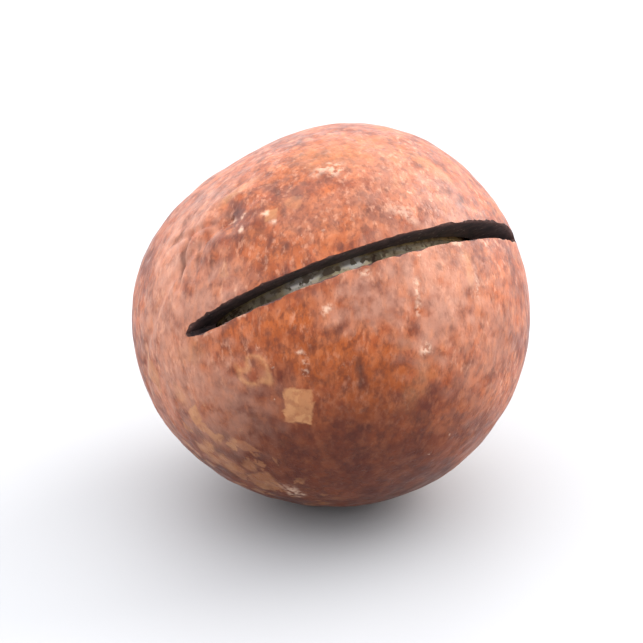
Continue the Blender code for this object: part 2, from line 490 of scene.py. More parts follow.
def shell_piece(finishes, blade):
    """Model the shell: the skin ball, trimmed, with the hollow inside it and the slot sawn through."""
    shell = ball("nut_shell", SHELL_CUTS, skin_radius)
    smooth_ball_bottom = lowest_point(outer_radius)
    trim_rest_spot(shell, smooth_ball_bottom + REST_TRIM)
    lining = ball("nut_lining", LINING_CUTS, worn_lining_radius)
    bpy.ops.object.mode_set(mode="EDIT")
    bpy.ops.mesh.select_all(action="SELECT")
    bpy.ops.mesh.flip_normals()
    bpy.ops.object.mode_set(mode="OBJECT")
    for finish in finishes:
        shell.data.materials.append(finish)
        lining.data.materials.append(finish)
        blade.data.materials.append(finish)
    set_finish_index(shell, SKIN)
    set_finish_index(lining, LINING)
    set_finish_index(blade, SAWN)
    make_active(shell)
    lining.select_set(True)
    bpy.ops.object.join()
    saw(shell, blade)
    return shell


def lowest_point(radius):
    """Lowest height of a ball formula, found on a fine ring grid round its underside."""
    tilt, turn = np.meshgrid(np.radians(np.arange(0, 40, 0.25)), np.radians(np.arange(0, 360, 2)))
    tilt, turn = tilt.ravel(), turn.ravel()
    directions = np.stack([np.sin(tilt) * np.cos(turn), np.sin(tilt) * np.sin(turn), -np.cos(tilt)], axis=1)
    return float((directions[:, 2] * radius(directions)).min())


def kernel_piece(finishes, blade):
    """Model the kernel, and give it the shallow nick that the saw left in it."""
    kernel = ball("nut_kernel", KERNEL_CUTS, uneven_kernel_radius, middle=(0, 0, -KERNEL_DROP))
    for finish in finishes:
        kernel.data.materials.append(finish)
    set_finish_index(kernel, SKIN)
    saw(kernel, blade)
    return kernel


def shell_box():
    """Box of the smooth form about its own middle, found on a fine grid of directions."""
    tilt, turn = np.meshgrid(np.radians(np.arange(0, 180.1, 1.0)), np.radians(np.arange(0, 360, 1.0)))
    tilt, turn = tilt.ravel(), turn.ravel()
    directions = np.stack([np.sin(tilt) * np.cos(turn), np.sin(tilt) * np.sin(turn), np.cos(tilt)], axis=1)
    places = directions * outer_radius(directions)[:, None]
    low, high = places.min(axis=0), places.max(axis=0)
    low[2] = lowest_point(outer_radius) + REST_TRIM
    return Vector(low), Vector(high)


def nodes_of(finish):
    """Empty a material's tree and return it."""
    finish.use_nodes = True
    tree = finish.node_tree
    tree.nodes.clear()
    return tree


def put(tree, kind, inputs=None, **settings):
    """Add a node, set it up, and link or fill its inputs."""
    made = tree.nodes.new(kind)
    for name, value in settings.items():
        setattr(made, name, value)
    for name, value in (inputs or {}).items():
        fill(tree, made.inputs[name], value)
    return made


def fill(tree, socket, value):
    """Link a socket to another, or give it a plain value."""
    if isinstance(value, bpy.types.NodeSocket):
        tree.links.new(value, socket)
    else:
        socket.default_value = value


def calc(tree, operation, *values, clamp=False):
    """One step of arithmetic."""
    made = tree.nodes.new("ShaderNodeMath")
    made.operation = operation
    made.use_clamp = clamp
    for socket, value in zip(made.inputs, values):
        fill(tree, socket, value)
    return made.outputs[0]


def vector_calc(tree, operation, *values, result=0):
    """One step of arithmetic on vectors. Result 1 is the plain number that some steps give."""
    made = tree.nodes.new("ShaderNodeVectorMath")
    made.operation = operation
    for socket, value in zip(made.inputs, values):
        fill(tree, socket, value)
    return made.outputs[result]


def ramp(tree, value, low, high, to_low=0.0, to_high=1.0, smooth=True):
    """Spread the stretch from low to high of a value over a new stretch."""
    made = put(tree, "ShaderNodeMapRange", clamp=True)
    made.interpolation_type = "SMOOTHSTEP" if smooth else "LINEAR"
    for name, setting in (("Value", value), ("From Min", low), ("From Max", high),
                          ("To Min", to_low), ("To Max", to_high)):
        fill(tree, made.inputs[name], setting)
    return made.outputs["Result"]


def blend_colour(tree, share, under, over):
    """Lay one colour over another by a share."""
    made = tree.nodes.new("ShaderNodeMix")
    made.data_type = "RGBA"
    made.blend_type = "MIX"
    made.clamp_factor = True
    fill(tree, made.inputs[0], share)
    fill(tree, made.inputs[6], under)
    fill(tree, made.inputs[7], over)
    return made.outputs[2]


def noise(tree, place, scale, detail, rough):
    """Cloudy noise between 0 and 1."""
    settings = {"Vector": place, "Scale": scale, "Detail": detail, "Roughness": rough}
    return put(tree, "ShaderNodeTexNoise", settings).outputs[0]


def group(name, inputs, outputs):
    """Start a node group with named inputs and outputs."""
    tree = bpy.data.node_groups.new(name, "ShaderNodeTree")
    kinds = {"value": "NodeSocketFloat", "vector": "NodeSocketVector", "colour": "NodeSocketColor"}
    for label, kind, value in inputs:
        socket = tree.interface.new_socket(label, in_out="INPUT", socket_type=kinds[kind])
        socket.default_value = value
    for label, kind in outputs:
        tree.interface.new_socket(label, in_out="OUTPUT", socket_type=kinds[kind])
    source = tree.nodes.new("NodeGroupInput")
    sink = tree.nodes.new("NodeGroupOutput")
    return tree, source.outputs, sink.inputs


def use(tree, made_group, inputs):
    """Place a node group in a tree."""
    made = tree.nodes.new("ShaderNodeGroup")
    made.node_tree = made_group
    for name, value in inputs.items():
        fill(tree, made.inputs[name], value)
    return made.outputs


def nut_places_group(middle):
    """Places about the nut's middle and along its own axis, and the angle from its pored end."""
    tree, given, out = group("nut places", [("Place", "vector", (0, 0, 0))],
                             [("Own", "vector"), ("Polar", "value")])
    turn = NUT_TURN.transposed()
    about = put(tree, "ShaderNodeMapping", {"Vector": given["Place"], "Location": turn @ -middle,
                                            "Rotation": turn.to_euler()})
    own = about.outputs[0]
    outward = vector_calc(tree, "NORMALIZE", own)
    split = put(tree, "ShaderNodeSeparateXYZ", {"Vector": outward}).outputs
    polar = calc(tree, "ARCCOSINE", split[2])
    fill(tree, out["Own"], own)
    fill(tree, out["Polar"], polar)
    return tree


def mark_group():
    """One mark on the skin: a four-sided patch with ragged edges."""
    tree, given, out = group("mark", [
        ("Place", "vector", (0, 0, 0)), ("Wander", "vector", (0, 0, 0)), ("Centre", "vector", (0, 0, 0)),
        ("Along", "vector", (1, 0, 0)), ("Across", "vector", (0, 1, 0)),
        ("Half length", "value", 0.001), ("Half width", "value", 0.001),
        ("Softness", "value", 0.15), ("Ragged", "value", 0.3), ("Corners", "value", 3.0)],
        [("Mask", "value")])
    narrower = calc(tree, "MINIMUM", given["Half length"], given["Half width"])
    reach = calc(tree, "MULTIPLY", narrower, given["Ragged"])
    place = vector_calc(tree, "ADD", vector_calc(tree, "SUBTRACT", given["Place"], given["Centre"]),
                        scaled(tree, given["Wander"], reach))
    along = calc(tree, "ABSOLUTE", vector_calc(tree, "DOT_PRODUCT", place, given["Along"], result=1))
    across = calc(tree, "ABSOLUTE", vector_calc(tree, "DOT_PRODUCT", place, given["Across"], result=1))
    along = calc(tree, "POWER", calc(tree, "DIVIDE", along, given["Half length"]), given["Corners"])
    across = calc(tree, "POWER", calc(tree, "DIVIDE", across, given["Half width"]), given["Corners"])
    root = calc(tree, "DIVIDE", 1.0, given["Corners"])
    away = calc(tree, "POWER", calc(tree, "ADD", along, across), root)
    outside = calc(tree, "ADD", 1.0, given["Softness"])
    inside = calc(tree, "SUBTRACT", 1.0, given["Softness"])
    fill(tree, out["Mask"], ramp(tree, away, outside, inside))
    return tree


def scaled(tree, vector, amount):
    """A vector times a number."""
    made = tree.nodes.new("ShaderNodeVectorMath")
    made.operation = "SCALE"
    fill(tree, made.inputs[0], vector)
    fill(tree, made.inputs["Scale"], amount)
    return made.outputs[0]


def wander_of(tree, place, scale):
    """A random step for each place, which makes the edges of marks ragged."""
    cloud = put(tree, "ShaderNodeTexNoise", {"Vector": place, "Scale": scale, "Detail": 3.0})
    return scaled(tree, vector_calc(tree, "SUBTRACT", cloud.outputs[1], (0.5, 0.5, 0.5)), 2.6)


def flecks_group():
    """Angular flecks strewn by chance: cells of which a share holds one, each of its own size."""
    tree, given, out = group("flecks", [
        ("Place", "vector", (0, 0, 0)), ("Scale", "value", 300.0), ("Share", "value", 0.2),
        ("Size", "value", 0.35), ("Softness", "value", 0.05), ("Wander", "value", 0.3)],
        [("Mask", "value"), ("Chance", "value")])
    finer = calc(tree, "MULTIPLY", given["Scale"], 2.3)
    wander = put(tree, "ShaderNodeTexNoise", {"Vector": given["Place"], "Detail": 3.0, "Scale": finer})
    wander = vector_calc(tree, "SUBTRACT", wander.outputs[1], (0.5, 0.5, 0.5))
    step = scaled(tree, wander, calc(tree, "DIVIDE", given["Wander"], given["Scale"]))
    place = vector_calc(tree, "ADD", given["Place"], step)
    cells = put(tree, "ShaderNodeTexVoronoi", {"Vector": place, "Scale": given["Scale"], "Randomness": 1.0},
                distance="MINKOWSKI", feature="F1")
    cells.inputs["Exponent"].default_value = 1.4
    chance = put(tree, "ShaderNodeSeparateColor", {"Color": cells.outputs["Color"]}).outputs
    chosen = calc(tree, "LESS_THAN", chance[0], given["Share"])
    size = calc(tree, "MULTIPLY", given["Size"], ramp(tree, chance[1], 0, 1, 0.45, 1.25, smooth=False))
    near = ramp(tree, cells.outputs["Distance"], calc(tree, "ADD", size, given["Softness"]),
                calc(tree, "SUBTRACT", size, given["Softness"]))
    fill(tree, out["Mask"], calc(tree, "MULTIPLY", chosen, near))
    fill(tree, out["Chance"], chance[2])
    return tree


def cloud_group():
    """Soft patches: noise, cut at a level and sharpened."""
    tree, given, out = group("clouds", [
        ("Place", "vector", (0, 0, 0)), ("Scale", "value", 300.0), ("Detail", "value", 3.0),
        ("Low", "value", 0.4), ("High", "value", 0.6)], [("Mask", "value")])
    value = noise(tree, given["Place"], given["Scale"], given["Detail"], 0.55)
    fill(tree, out["Mask"], ramp(tree, value, given["Low"], given["High"]))
    return tree


def streak_group():
    """Fine streaks of the skin, drawn out along its grain."""
    tree, given, out = group("streaks", [
        ("Own", "vector", (0, 0, 0)), ("Scale", "value", 500.0), ("Stretch", "value", 4.0),
        ("Low", "value", 0.5), ("High", "value", 0.7)], [("Mask", "value")])
    grain = NUT_TURN.transposed() @ VIEW_UP
    along = vector_calc(tree, "DOT_PRODUCT", given["Own"], grain, result=1)
    back = calc(tree, "MULTIPLY", along, calc(tree, "SUBTRACT", given["Stretch"], 1.0))
    stretched = scaled(tree, given["Own"], given["Stretch"])
    drawn = vector_calc(tree, "SUBTRACT", stretched, scaled(tree, grain, back))
    value = noise(tree, drawn, given["Scale"], 3.0, 0.6)
    fill(tree, out["Mask"], ramp(tree, value, given["Low"], given["High"]))
    return tree


# Marks that the photograph shows on the skin. Each has its middle in the photograph's pixels, its
# length and width in pixels as they lie on the skin, its turn in degrees from the picture's right,
# how soft its edge is, and how strong it is
TAN_MARKS = (
    ((141.3, 336.8), 15.6, 15.0, 44, 0.10, 0.80),
    ((142.0, 340.9), 15.2, 15.2, 38, 0.10, 0.80),
    ((82.5, 326), 19, 11, -68, 0.18, 0.75),
    ((100.0, 343.0), 11, 8, 62, 0.18, 0.66),
    ((104.5, 349), 15, 5, -42, 0.25, 0.45),
    ((102, 357), 9, 7, -60, 0.18, 0.50),
    ((119.5, 355.5), 15, 6, -5, 0.18, 0.45),
    ((130.8, 262.2), 8, 5.5, 60, 0.18, 0.90),
    ((127, 371.3), 17, 20, -14, 0.18, 0.50),
    ((113, 364), 15, 8, -36, 0.30, 0.45),
    ((94, 335), 8, 6, -50, 0.40, 0.40),
    ((105, 355.5), 5, 7, 0, 0.30, 0.55),
    ((116.4, 354.3), 7, 5, 10, 0.35, 0.45),
    ((121.7, 364.4), 6, 7, 0, 0.30, 0.50),
    ((113.8, 366.0), 8, 8, -30, 0.30, 0.50),
    ((106.5, 361.5), 6, 8, -45, 0.30, 0.45),
    ((154, 237), 28, 15, 3, 0.60, 0.25),
    ((116, 251), 18, 5, 40, 0.45, 0.45),
    ((210, 284), 4, 14, 8, 0.40, 0.50),
    ((196, 243), 20, 7, -45, 0.45, 0.45),
    ((98, 318), 16, 7, 20, 0.70, 0.25),
    ((190, 330), 22, 9, 70, 0.70, 0.25),
)
RING_MARK = ((124.0, 325.8), 13.0, 11.5, 20, 0.20, 0.75)
RING_HOLLOW = 0.68
ORANGE_MARKS = (
    ((132, 260), 9, 5, 100, 0.35, 0.90),
    ((172, 330), 30, 22, 75, 0.60, 1.00),
    ((152, 318), 40, 20, 10, 0.60, 0.90),
    ((138, 243), 36, 15, 25, 0.60, 0.85),
    ((140, 303), 36, 12, 24, 0.60, 0.95),
    ((112, 312), 26, 10, 28, 0.60, 0.45),
    ((215, 300), 20, 8, 80, 0.60, 0.40),
    ((160, 262), 30, 14, 20, 0.70, 0.60),
    ((163, 233), 58, 22, 0, 0.70, 0.95),
    ((142, 274), 36, 14, 20, 0.60, 0.70),
)
# Pink bloom of the skin, laid on also as painted sheen on the limbs and beside the highlight
BLOOM_AND_SHEEN_MARKS = (
    ((87, 296), 84, 36, 80, 0.70, 1.0),
    ((197, 292), 40, 50, 20, 0.70, 1.0),
    ((188, 253), 28, 62, 45, 0.70, 0.54),
    ((140, 260), 24, 40, 20, 0.75, 0.25),
    ((96, 332), 46, 40, 60, 0.75, 1.0),
    ((220, 314), 54, 34, 85, 0.70, 0.58),
    ((109, 344), 50, 36, 40, 0.75, 1.0),
    ((106, 296), 34, 20, 35, 0.70, 0.90),
    ((167, 296), 30, 20, 15, 0.70, 0.95),
    ((167, 259), 34, 18, 0, 0.70, 0.40),
)
PALE_MARKS = (
    ((119, 301.8), 4.5, 2.0, 25, 0.45, 0.9),
    ((168, 285.6), 5.0, 2.0, 15, 0.45, 0.8),
    ((205, 273.6), 6.0, 1.8, 5, 0.45, 0.8),
    ((216, 273.6), 4.0, 2.0, 0, 0.45, 0.9),
    ((153, 300), 5, 2.4, 35, 0.45, 1.0),
    ((142.5, 317), 3, 1.8, 20, 0.45, 0.9),
    ((145, 321), 3, 1.6, 60, 0.45, 0.9),
    ((144.5, 325), 2.4, 1.6, 0, 0.45, 0.9),
    ((113.8, 263.5), 3.0, 2.0, 10, 0.40, 1.0),
    ((119.0, 268.0), 3.6, 1.8, 95, 0.40, 1.0),
    ((118.6, 262.0), 2.4, 1.6, 60, 0.40, 1.0),
    ((128.5, 261.7), 3.2, 2.0, 30, 0.40, 1.0),
    ((131.7, 265.0), 2.8, 2.0, 0, 0.40, 1.0),
    ((188.7, 292), 8.0, 1.8, 88, 0.50, 0.9),
    ((189.3, 300), 4.5, 2.0, 88, 0.45, 0.8),
    ((213.0, 291), 11.0, 1.6, 84, 0.50, 0.6),
    ((192.2, 316), 5.0, 3.2, 60, 0.50, 1.0),
    ((139.4, 375.6), 6.5, 11, 10, 0.50, 1.0),
    ((153.5, 243), 12, 7.0, 12, 0.60, 0.7),
    ((184, 262), 12, 5.0, -30, 0.60, 0.5),
)
PURPLE_MARKS = (
    ((116, 259.5), 11, 10, 20, 0.50, 1.00),
    ((105, 277), 17, 11, 60, 0.65, 0.55),
    ((130.5, 250.5), 7, 5, 110, 0.50, 0.90),
    ((137.5, 262), 9, 7, 95, 0.60, 0.50),
    ((146, 265), 22, 13, 12, 0.65, 0.60),
    ((155.5, 248), 14, 6, 0, 0.60, 0.45),
    ((98, 288), 14, 6, 80, 0.65, 0.20),
    ((172, 262), 20, 7, -35, 0.65, 0.40),
    ((157, 362), 50, 34, 10, 0.70, 0.42),
    ((108, 334), 16, 8, 60, 0.70, 0.20),
    ((126, 284), 20, 6, 30, 0.70, 0.15),
)
# Dark lines: along the creases beside the pore and below the slot they are painted shade, and low on the
# left they are the skin's own dark net of specks
DARK_MARKS = (
    ((94.0, 280), 17, 2.0, 96, 0.50, 0.75),
    ((91, 271), 12, 1.6, 28, 0.50, 0.70),
    ((100.5, 279), 14, 1.6, 105, 0.55, 0.55),
    ((166.5, 326), 13, 2.2, 95, 0.50, 0.80),
    ((107, 281), 7, 1.8, 100, 0.55, 0.60),
    ((115.5, 260), 5, 3.0, 60, 0.50, 0.60),
    ((132.4, 252.5), 4.6, 2.4, 110, 0.50, 0.70),
    ((198, 283), 3.0, 2.2, 0, 0.50, 0.60),
    ((129, 249), 7, 2.0, 30, 0.50, 0.50),
    ((117, 361), 8, 5, -20, 0.55, 0.55),
    ((109, 358), 4, 7, -40, 0.55, 0.50),
    ((112, 352), 5, 3.5, 60, 0.55, 0.45),
    ((101, 350), 6, 4, -50, 0.55, 0.45),
    ((126, 360), 6, 4, 10, 0.55, 0.40),
    ((112, 367.5), 9, 5, -30, 0.55, 0.45),
    ((135, 362), 5, 4, 0, 0.55, 0.40),
)
# What lies in the slot: the kernel is scraped pale in places, and brown with the saw's dust in others.
# The broad brown marks towards the slot's ends are painted shade where the kernel lies deep in the dark
# slot; the small ones near its middle are saw dust
SCRAPED_MARKS = (
    ((143.0, 289.0), 14, 6, 22, 0.45, 1.0),
    ((163.5, 281.5), 10, 4.6, 18, 0.40, 1.0),
    ((152.0, 285.4), 8, 3, 20, 0.50, 0.7),
    ((131, 294), 6, 3, 28, 0.50, 0.45),
    ((183, 276), 8, 2, 14, 0.50, 0.35),
)
SOILED_AND_SHADED_MARKS = (
    ((172.8, 279), 5.5, 9, 15, 0.35, 1.0),
    ((111, 303), 44, 16, 28, 0.35, 1.0),
    ((129, 296.2), 18, 10, 28, 0.60, 0.88),
    ((152, 285.0), 4, 5, 15, 0.45, 0.85),
    ((184, 276.2), 20, 12, 14, 0.45, 0.72),
    ((197, 273.2), 12, 12, 14, 0.45, 0.90),
    ((206, 269.5), 32, 12, 8, 0.35, 1.0),
)


# Zones of the skin: the middle of each, and the angles in degrees to which it is full and past which it
# is gone. The nut has painted shade low at the front, is close with small flecks low on the left, and its
# far side is strewn with large ones
SHADED_PLACE = (Vector((0.02, -0.80, -0.60)), 22, 62)
SPECKLED_PLACES = ((seen(112, 362), 16, 27), (seen(138, 378), 10, 18))
FAR_SIDE = (-VIEW_BACK, 84, 98)

# A mark that is painted on the mesh: the wavelength of its ragged edge in metres, and how near its
# middle, as a cosine, the skin has to be
PAINT_WANDER = 0.0011
SAME_SIDE = 0.2
EDGE = 4


def mark_axes(pixel, turn, radius=FORM_RADIUS):
    """Directions out of the skin, along a mark and across it."""
    outward = seen(*pixel, radius)
    turned = VIEW_RIGHT * math.cos(math.radians(turn)) + VIEW_UP * math.sin(math.radians(turn))
    along = (turned - outward * turned.dot(outward)).normalized()
    return outward, along, outward.cross(along)


def ease(values, low, high):
    """A smooth step from 0 at low to 1 at high."""
    share = np.clip((values - low) / (high - low), 0, 1)
    return share * share * (3 - 2 * share)


def painted(directions, chosen, ragged, seed, hollow=0.0):
    """How much of a list of soft marks each direction of the skin has, from 0 to 1."""
    wander = np.stack([waves(directions, PAINT_WANDER, seed + axis) for axis in range(3)], axis=1)
    found = np.zeros(len(directions))
    for pixel, length, width, turn, softness, strength in chosen:
        outward, along, across = (np.array(way) for way in mark_axes(pixel, turn))
        step = (directions - outward) * FORM_RADIUS + wander * (ragged * min(length, width) / 2 * PIXEL)
        away = np.cbrt(np.abs(step @ along / (length / 2 * PIXEL)) ** 3
                       + np.abs(step @ across / (width / 2 * PIXEL)) ** 3)
        mask = ease(away, 1 + softness, 1 - softness) * (directions @ outward > SAME_SIDE)
        if hollow:
            mask *= 1 - ease(away, hollow + softness, hollow - softness)
        found = np.maximum(found, mask * strength)
    return found


def near_to(directions, centre, nearest, farthest):
    """1 within the nearest angle, in degrees, of a centre, and 0 past the farthest."""
    return ease(np.degrees(angles_to(directions, centre)), farthest, nearest)


# The colour attributes of the skin's mesh, and the three masks that each holds
PAINTED_MASKS = (
    ("patches", ("orange", "purple", "bloom_and_sheen")),
    ("zones", ("shade", "speckled", "far side")),
    ("stains", ("soft tan", "dark", "pale")),
)


def paint_skin(shell):
    """Keep the skin's soft patches on the mesh, as three colour attributes of three masks each."""
    directions = vertex_places(shell)
    directions /= np.linalg.norm(directions, axis=1)[:, None]
    soft_tan = painted(directions, [mark for mark in TAN_MARKS if mark[EDGE] >= SOFT_EDGE], 0.3, 61)
    ring = painted(directions, [RING_MARK], 0.3, 61, hollow=RING_HOLLOW)
    masks = {
        "orange": painted(directions, ORANGE_MARKS, 0.6, 51),
        "purple": painted(directions, PURPLE_MARKS, 0.6, 54),
        "bloom_and_sheen": painted(directions, BLOOM_AND_SHEEN_MARKS, 0.4, 57),
        "shade": near_to(directions, *SHADED_PLACE),
        "speckled": np.maximum(*(near_to(directions, *place) for place in SPECKLED_PLACES)),
        "far side": near_to(directions, *FAR_SIDE),
        "soft tan": np.maximum(soft_tan, ring),
        "dark": painted(directions, DARK_MARKS, 0.5, 64),
        "pale": painted(directions, PALE_MARKS, 0.4, 67)}
    for layer_name, names in PAINTED_MASKS:
        layer = shell.data.attributes.new(layer_name, "FLOAT_COLOR", "POINT")
        colours = np.stack([*(masks[name] for name in names), np.ones(len(directions))], axis=1)
        layer.data.foreach_set("color", colours.astype(np.float32).ravel())


def mesh_masks(tree, name):
    """Read back the three masks of one attribute."""
    layer = put(tree, "ShaderNodeAttribute", attribute_name=name, attribute_type="GEOMETRY")
    return put(tree, "ShaderNodeSeparateColor", {"Color": layer.outputs["Color"]}).outputs


def marks(tree, place, wander, middle, chosen, ragged, one_mark, depth=0.0, corners=3.0):
    """Lay a list of marks on the skin, or at a depth below it, and return where they are."""
    found = 0.0
    for pixel, length, width, turn, softness, strength in chosen:
        outward, along, across = mark_axes(pixel, turn, FORM_RADIUS - depth)
        radius = FORM_RADIUS - depth if depth else float(outer_radius(np.array([outward]))[0])
        mask = use(tree, one_mark, {
            "Place": place, "Wander": wander, "Centre": middle + outward * radius,
            "Along": along, "Across": across,
            "Half length": length / 2 * PIXEL, "Half width": width / 2 * PIXEL,
            "Softness": softness, "Ragged": ragged, "Corners": corners})["Mask"]
        found = calc(tree, "MAXIMUM", found, calc(tree, "MULTIPLY", mask, strength))
    return found


def rgb(red, green, blue):
    """A colour given as the screen shows it, from 0 to 255, in the shader's own numbers."""
    def linear(level):
        level /= 255
        return level / 12.92 if level <= 0.04045 else ((level + 0.055) / 1.055) ** 2.4
    return (linear(red), linear(green), linear(blue), 1.0)


# Colours of the skin
DEEP_BROWN = rgb(114, 52, 30)
WARM_BROWN = rgb(156, 76, 40)
RUSSET = rgb(170, 88, 46)
LIVER_BROWN = rgb(94, 42, 32)
ORANGE_BROWN = rgb(160, 80, 32)
PURPLE_BROWN = rgb(92, 46, 38)
PALE_MOTTLE = rgb(184, 106, 64)
DARK_MOTTLE = rgb(84, 38, 28)
DARK_STREAK = rgb(80, 36, 26)
# Pale pink of the bloom, also standing in as painted sheen
BLOOM_AND_SHEEN_PINK = rgb(186, 136, 115)
PALE_STREAK = rgb(188, 116, 80)
PALE_THREAD = rgb(206, 150, 122)
DARK_THREAD = rgb(84, 42, 32)
# Brown of the painted shade low at the front
SHADED_BROWN = rgb(60, 24, 15)
DEEP_FLECK = rgb(172, 116, 78)
PALE_FLECK = rgb(198, 144, 98)
STAINED_FLECK = rgb(146, 88, 58)
STALK_TAN = rgb(172, 132, 102)
PORE_BROWN = rgb(84, 42, 34)
# Dark brown of the dark lines, painted shade in the creases and the net's own colour low on the left
CREASE_SHADE_AND_NET_BROWN = rgb(66, 34, 28)
SHELL_DUST = rgb(224, 190, 166)
# Colours of the sawn wall and of the lining
WALL_DARK = rgb(42, 29, 31)
WALL_GREY = rgb(80, 58, 56)
WALL_GRIT = rgb(140, 118, 108)
RIND_BROWN = rgb(104, 60, 46)
LINING_DARK = rgb(66, 36, 26)
LINING_BROWN = rgb(104, 60, 40)
ENAMEL_DEEP = rgb(196, 166, 128)
ENAMEL_PALE = rgb(222, 200, 166)
# Colours of the kernel
CREAM = rgb(250, 230, 172)
GOLD = rgb(240, 200, 128)
SAWN_CREAM = rgb(232, 218, 184)
SAWN_GOLD = rgb(212, 192, 152)
ROASTED = rgb(226, 168, 92)
KERNEL_SPECK = rgb(160, 96, 48)
SCRAPED_WHITE = rgb(252, 246, 236)
# Brown of the saw dust, also laid on as painted shade in the slot
SAW_DUST_AND_SHADE = rgb(70, 51, 36)
FLOOR_GREY = (0.350, 0.350, 0.360, 1.0)

# The pore and the stalk scar: the angles from the nut's ends between which their colours fade
PORE_FADE = (0.070, 0.030)
STALK_FADE = (math.pi - 0.34, math.pi - 0.24)
# Pale dust on the slot's lower lip: its reach below the lip, and where along the slot it starts
LIP_DUST_DEPTH = 0.00018
LIP_DUST_EDGE = 0.00002
LIP_DUST_START = (0.0050, 0.0064)
# Painted shade on the kernel under the slot's upper lip, in the saw dust's colour, as heights above the
# slot's middle
LIP_SHADE_EDGE = (SLOT_WIDTH * 0.22, SLOT_WIDTH * 0.40)
LIP_SHADE_TOP = SLOT_WIDTH * 1.2
LIP_SHADE_STRAY = 0.00022
# The brown rind of the sawn wall: how deep below the ball's surface it starts and is full
RIND_DEPTH = (0.00045, 0.00012)
# The angle from the pored end at which the lining turns from enamel to brown, and how far it strays
ENAMEL_EDGE = (1.62, 1.50)
ENAMEL_STRAY = 0.25


class Patterns:
    """What one finish is painted with: places about the nut's middle, clouds, streaks and flecks."""

    def __init__(self, tree, groups):
        self.tree = tree
        self.groups = groups
        self.place = tree.nodes.new("ShaderNodeTexCoord").outputs["Object"]
        nut = use(tree, groups["places"], {"Place": self.place})
        self.own = nut["Own"]
        self.polar = nut["Polar"]

    def cloud(self, scale, detail, low, high):
        """Soft patches."""
        return use(self.tree, self.groups["clouds"], {
            "Place": self.own, "Scale": scale, "Detail": detail, "Low": low, "High": high})["Mask"]

    def streak(self, scale, stretch, low, high):
        """Streaks along the grain."""
        return use(self.tree, self.groups["streaks"], {
            "Own": self.own, "Scale": scale, "Stretch": stretch, "Low": low, "High": high})["Mask"]

    def flecks(self, scale, chosen, size, softness, wander):
        """Flecks strewn by chance: their mask, and a number of chance for each."""
        made = use(self.tree, self.groups["flecks"], {
            "Place": self.own, "Scale": scale, "Share": chosen, "Size": size,
            "Softness": softness, "Wander": wander})
        return made["Mask"], made["Chance"]

    def grain(self, scale, detail, rough=0.5):
        """Cloudy noise that isn't cut."""
        return noise(self.tree, self.own, scale, detail, rough)

    def share(self, mask, amount):
        """A mask times an amount, or times another mask."""
        return calc(self.tree, "MULTIPLY", mask, amount)

    def either(self, *masks):
        """The strongest of some masks at each place."""
        found = masks[0]
        for mask in masks[1:]:
            found = calc(self.tree, "MAXIMUM", found, mask)
        return found

    def lay(self, colour, layers):
        """Lay colours one over another, each by its mask and its amount."""
        for mask, amount, over in layers:
            share = mask if amount == 1 else self.share(mask, amount)
            colour = blend_colour(self.tree, share, colour, over)
        return colour

    def above_slot(self, middle):
        """Height above the plane that the slot lies in."""
        from_middle = vector_calc(self.tree, "SUBTRACT", self.place, middle)
        height = vector_calc(self.tree, "DOT_PRODUCT", from_middle, SLOT_UP, result=1)
        return calc(self.tree, "SUBTRACT", height, SLOT_ABOVE_MIDDLE)


def new_finish(name, groups):
    """Start a material, and give it its patterns."""
    finish = bpy.data.materials.new(name)
    return finish, Patterns(nodes_of(finish), groups)


def finish_surface(tree, height, strength, distance, settings):
    """End a material: one Principled shader, with relief from a height."""
    relief = put(tree, "ShaderNodeBump", {"Height": height, "Strength": strength, "Distance": distance})
    shader = put(tree, "ShaderNodeBsdfPrincipled", {**settings, "Normal": relief.outputs[0]})
    sink = tree.nodes.new("ShaderNodeOutputMaterial")
    tree.links.new(shader.outputs[0], sink.inputs["Surface"])


def mottled_skin(skin, masks):
    """The skin's red brown mottling, with its pink bloom and painted sheen, its streaks, and painted shade
    low at the front.
    """
    tree = skin.tree
    # The bloom and the painted sheen, with a little over the far side
    bloom_and_sheen = skin.either(masks["bloom_and_sheen"], skin.share(masks["far side"], 0.35))
    bloom_and_sheen = skin.share(bloom_and_sheen, skin.cloud(650.0, 4.0, 0.22, 0.56))
    lit = calc(tree, "SUBTRACT", 1.0, skin.share(masks["shade"], 0.8))
    bare = skin.share(lit, calc(tree, "SUBTRACT", 1.0, skin.share(bloom_and_sheen, 0.6)))
    threads = skin.share(skin.streak(1250.0, 2.2, 0.50, 0.70), skin.cloud(380.0, 3.0, 0.38, 0.60))
    colour = blend_colour(tree, skin.cloud(200.0, 3.0, 0.34, 0.66), DEEP_BROWN, WARM_BROWN)
    return skin.lay(colour, (
        (skin.cloud(430.0, 3.0, 0.44, 0.66), 0.62, RUSSET),
        (skin.cloud(570.0, 3.0, 0.44, 0.66), 0.66, LIVER_BROWN),
        (masks["orange"], 0.75, ORANGE_BROWN),
        (masks["purple"], 0.75, PURPLE_BROWN),
        (skin.cloud(1000.0, 3.0, 0.46, 0.68), 0.42, PALE_MOTTLE),
        (skin.cloud(1250.0, 3.0, 0.48, 0.70), 0.58, DARK_MOTTLE),
        (skin.streak(560.0, 3.0, 0.50, 0.70), 0.50, DARK_STREAK),
        (bloom_and_sheen, 0.66, BLOOM_AND_SHEEN_PINK),
        (skin.streak(640.0, 3.2, 0.50, 0.70), 0.34, PALE_STREAK),
        (skin.share(threads, lit), 0.42, PALE_THREAD),
        (skin.share(skin.streak(1900.0, 1.8, 0.48, 0.64), bare), 0.42, DARK_THREAD),
        (masks["shade"], 0.64, SHADED_BROWN)))


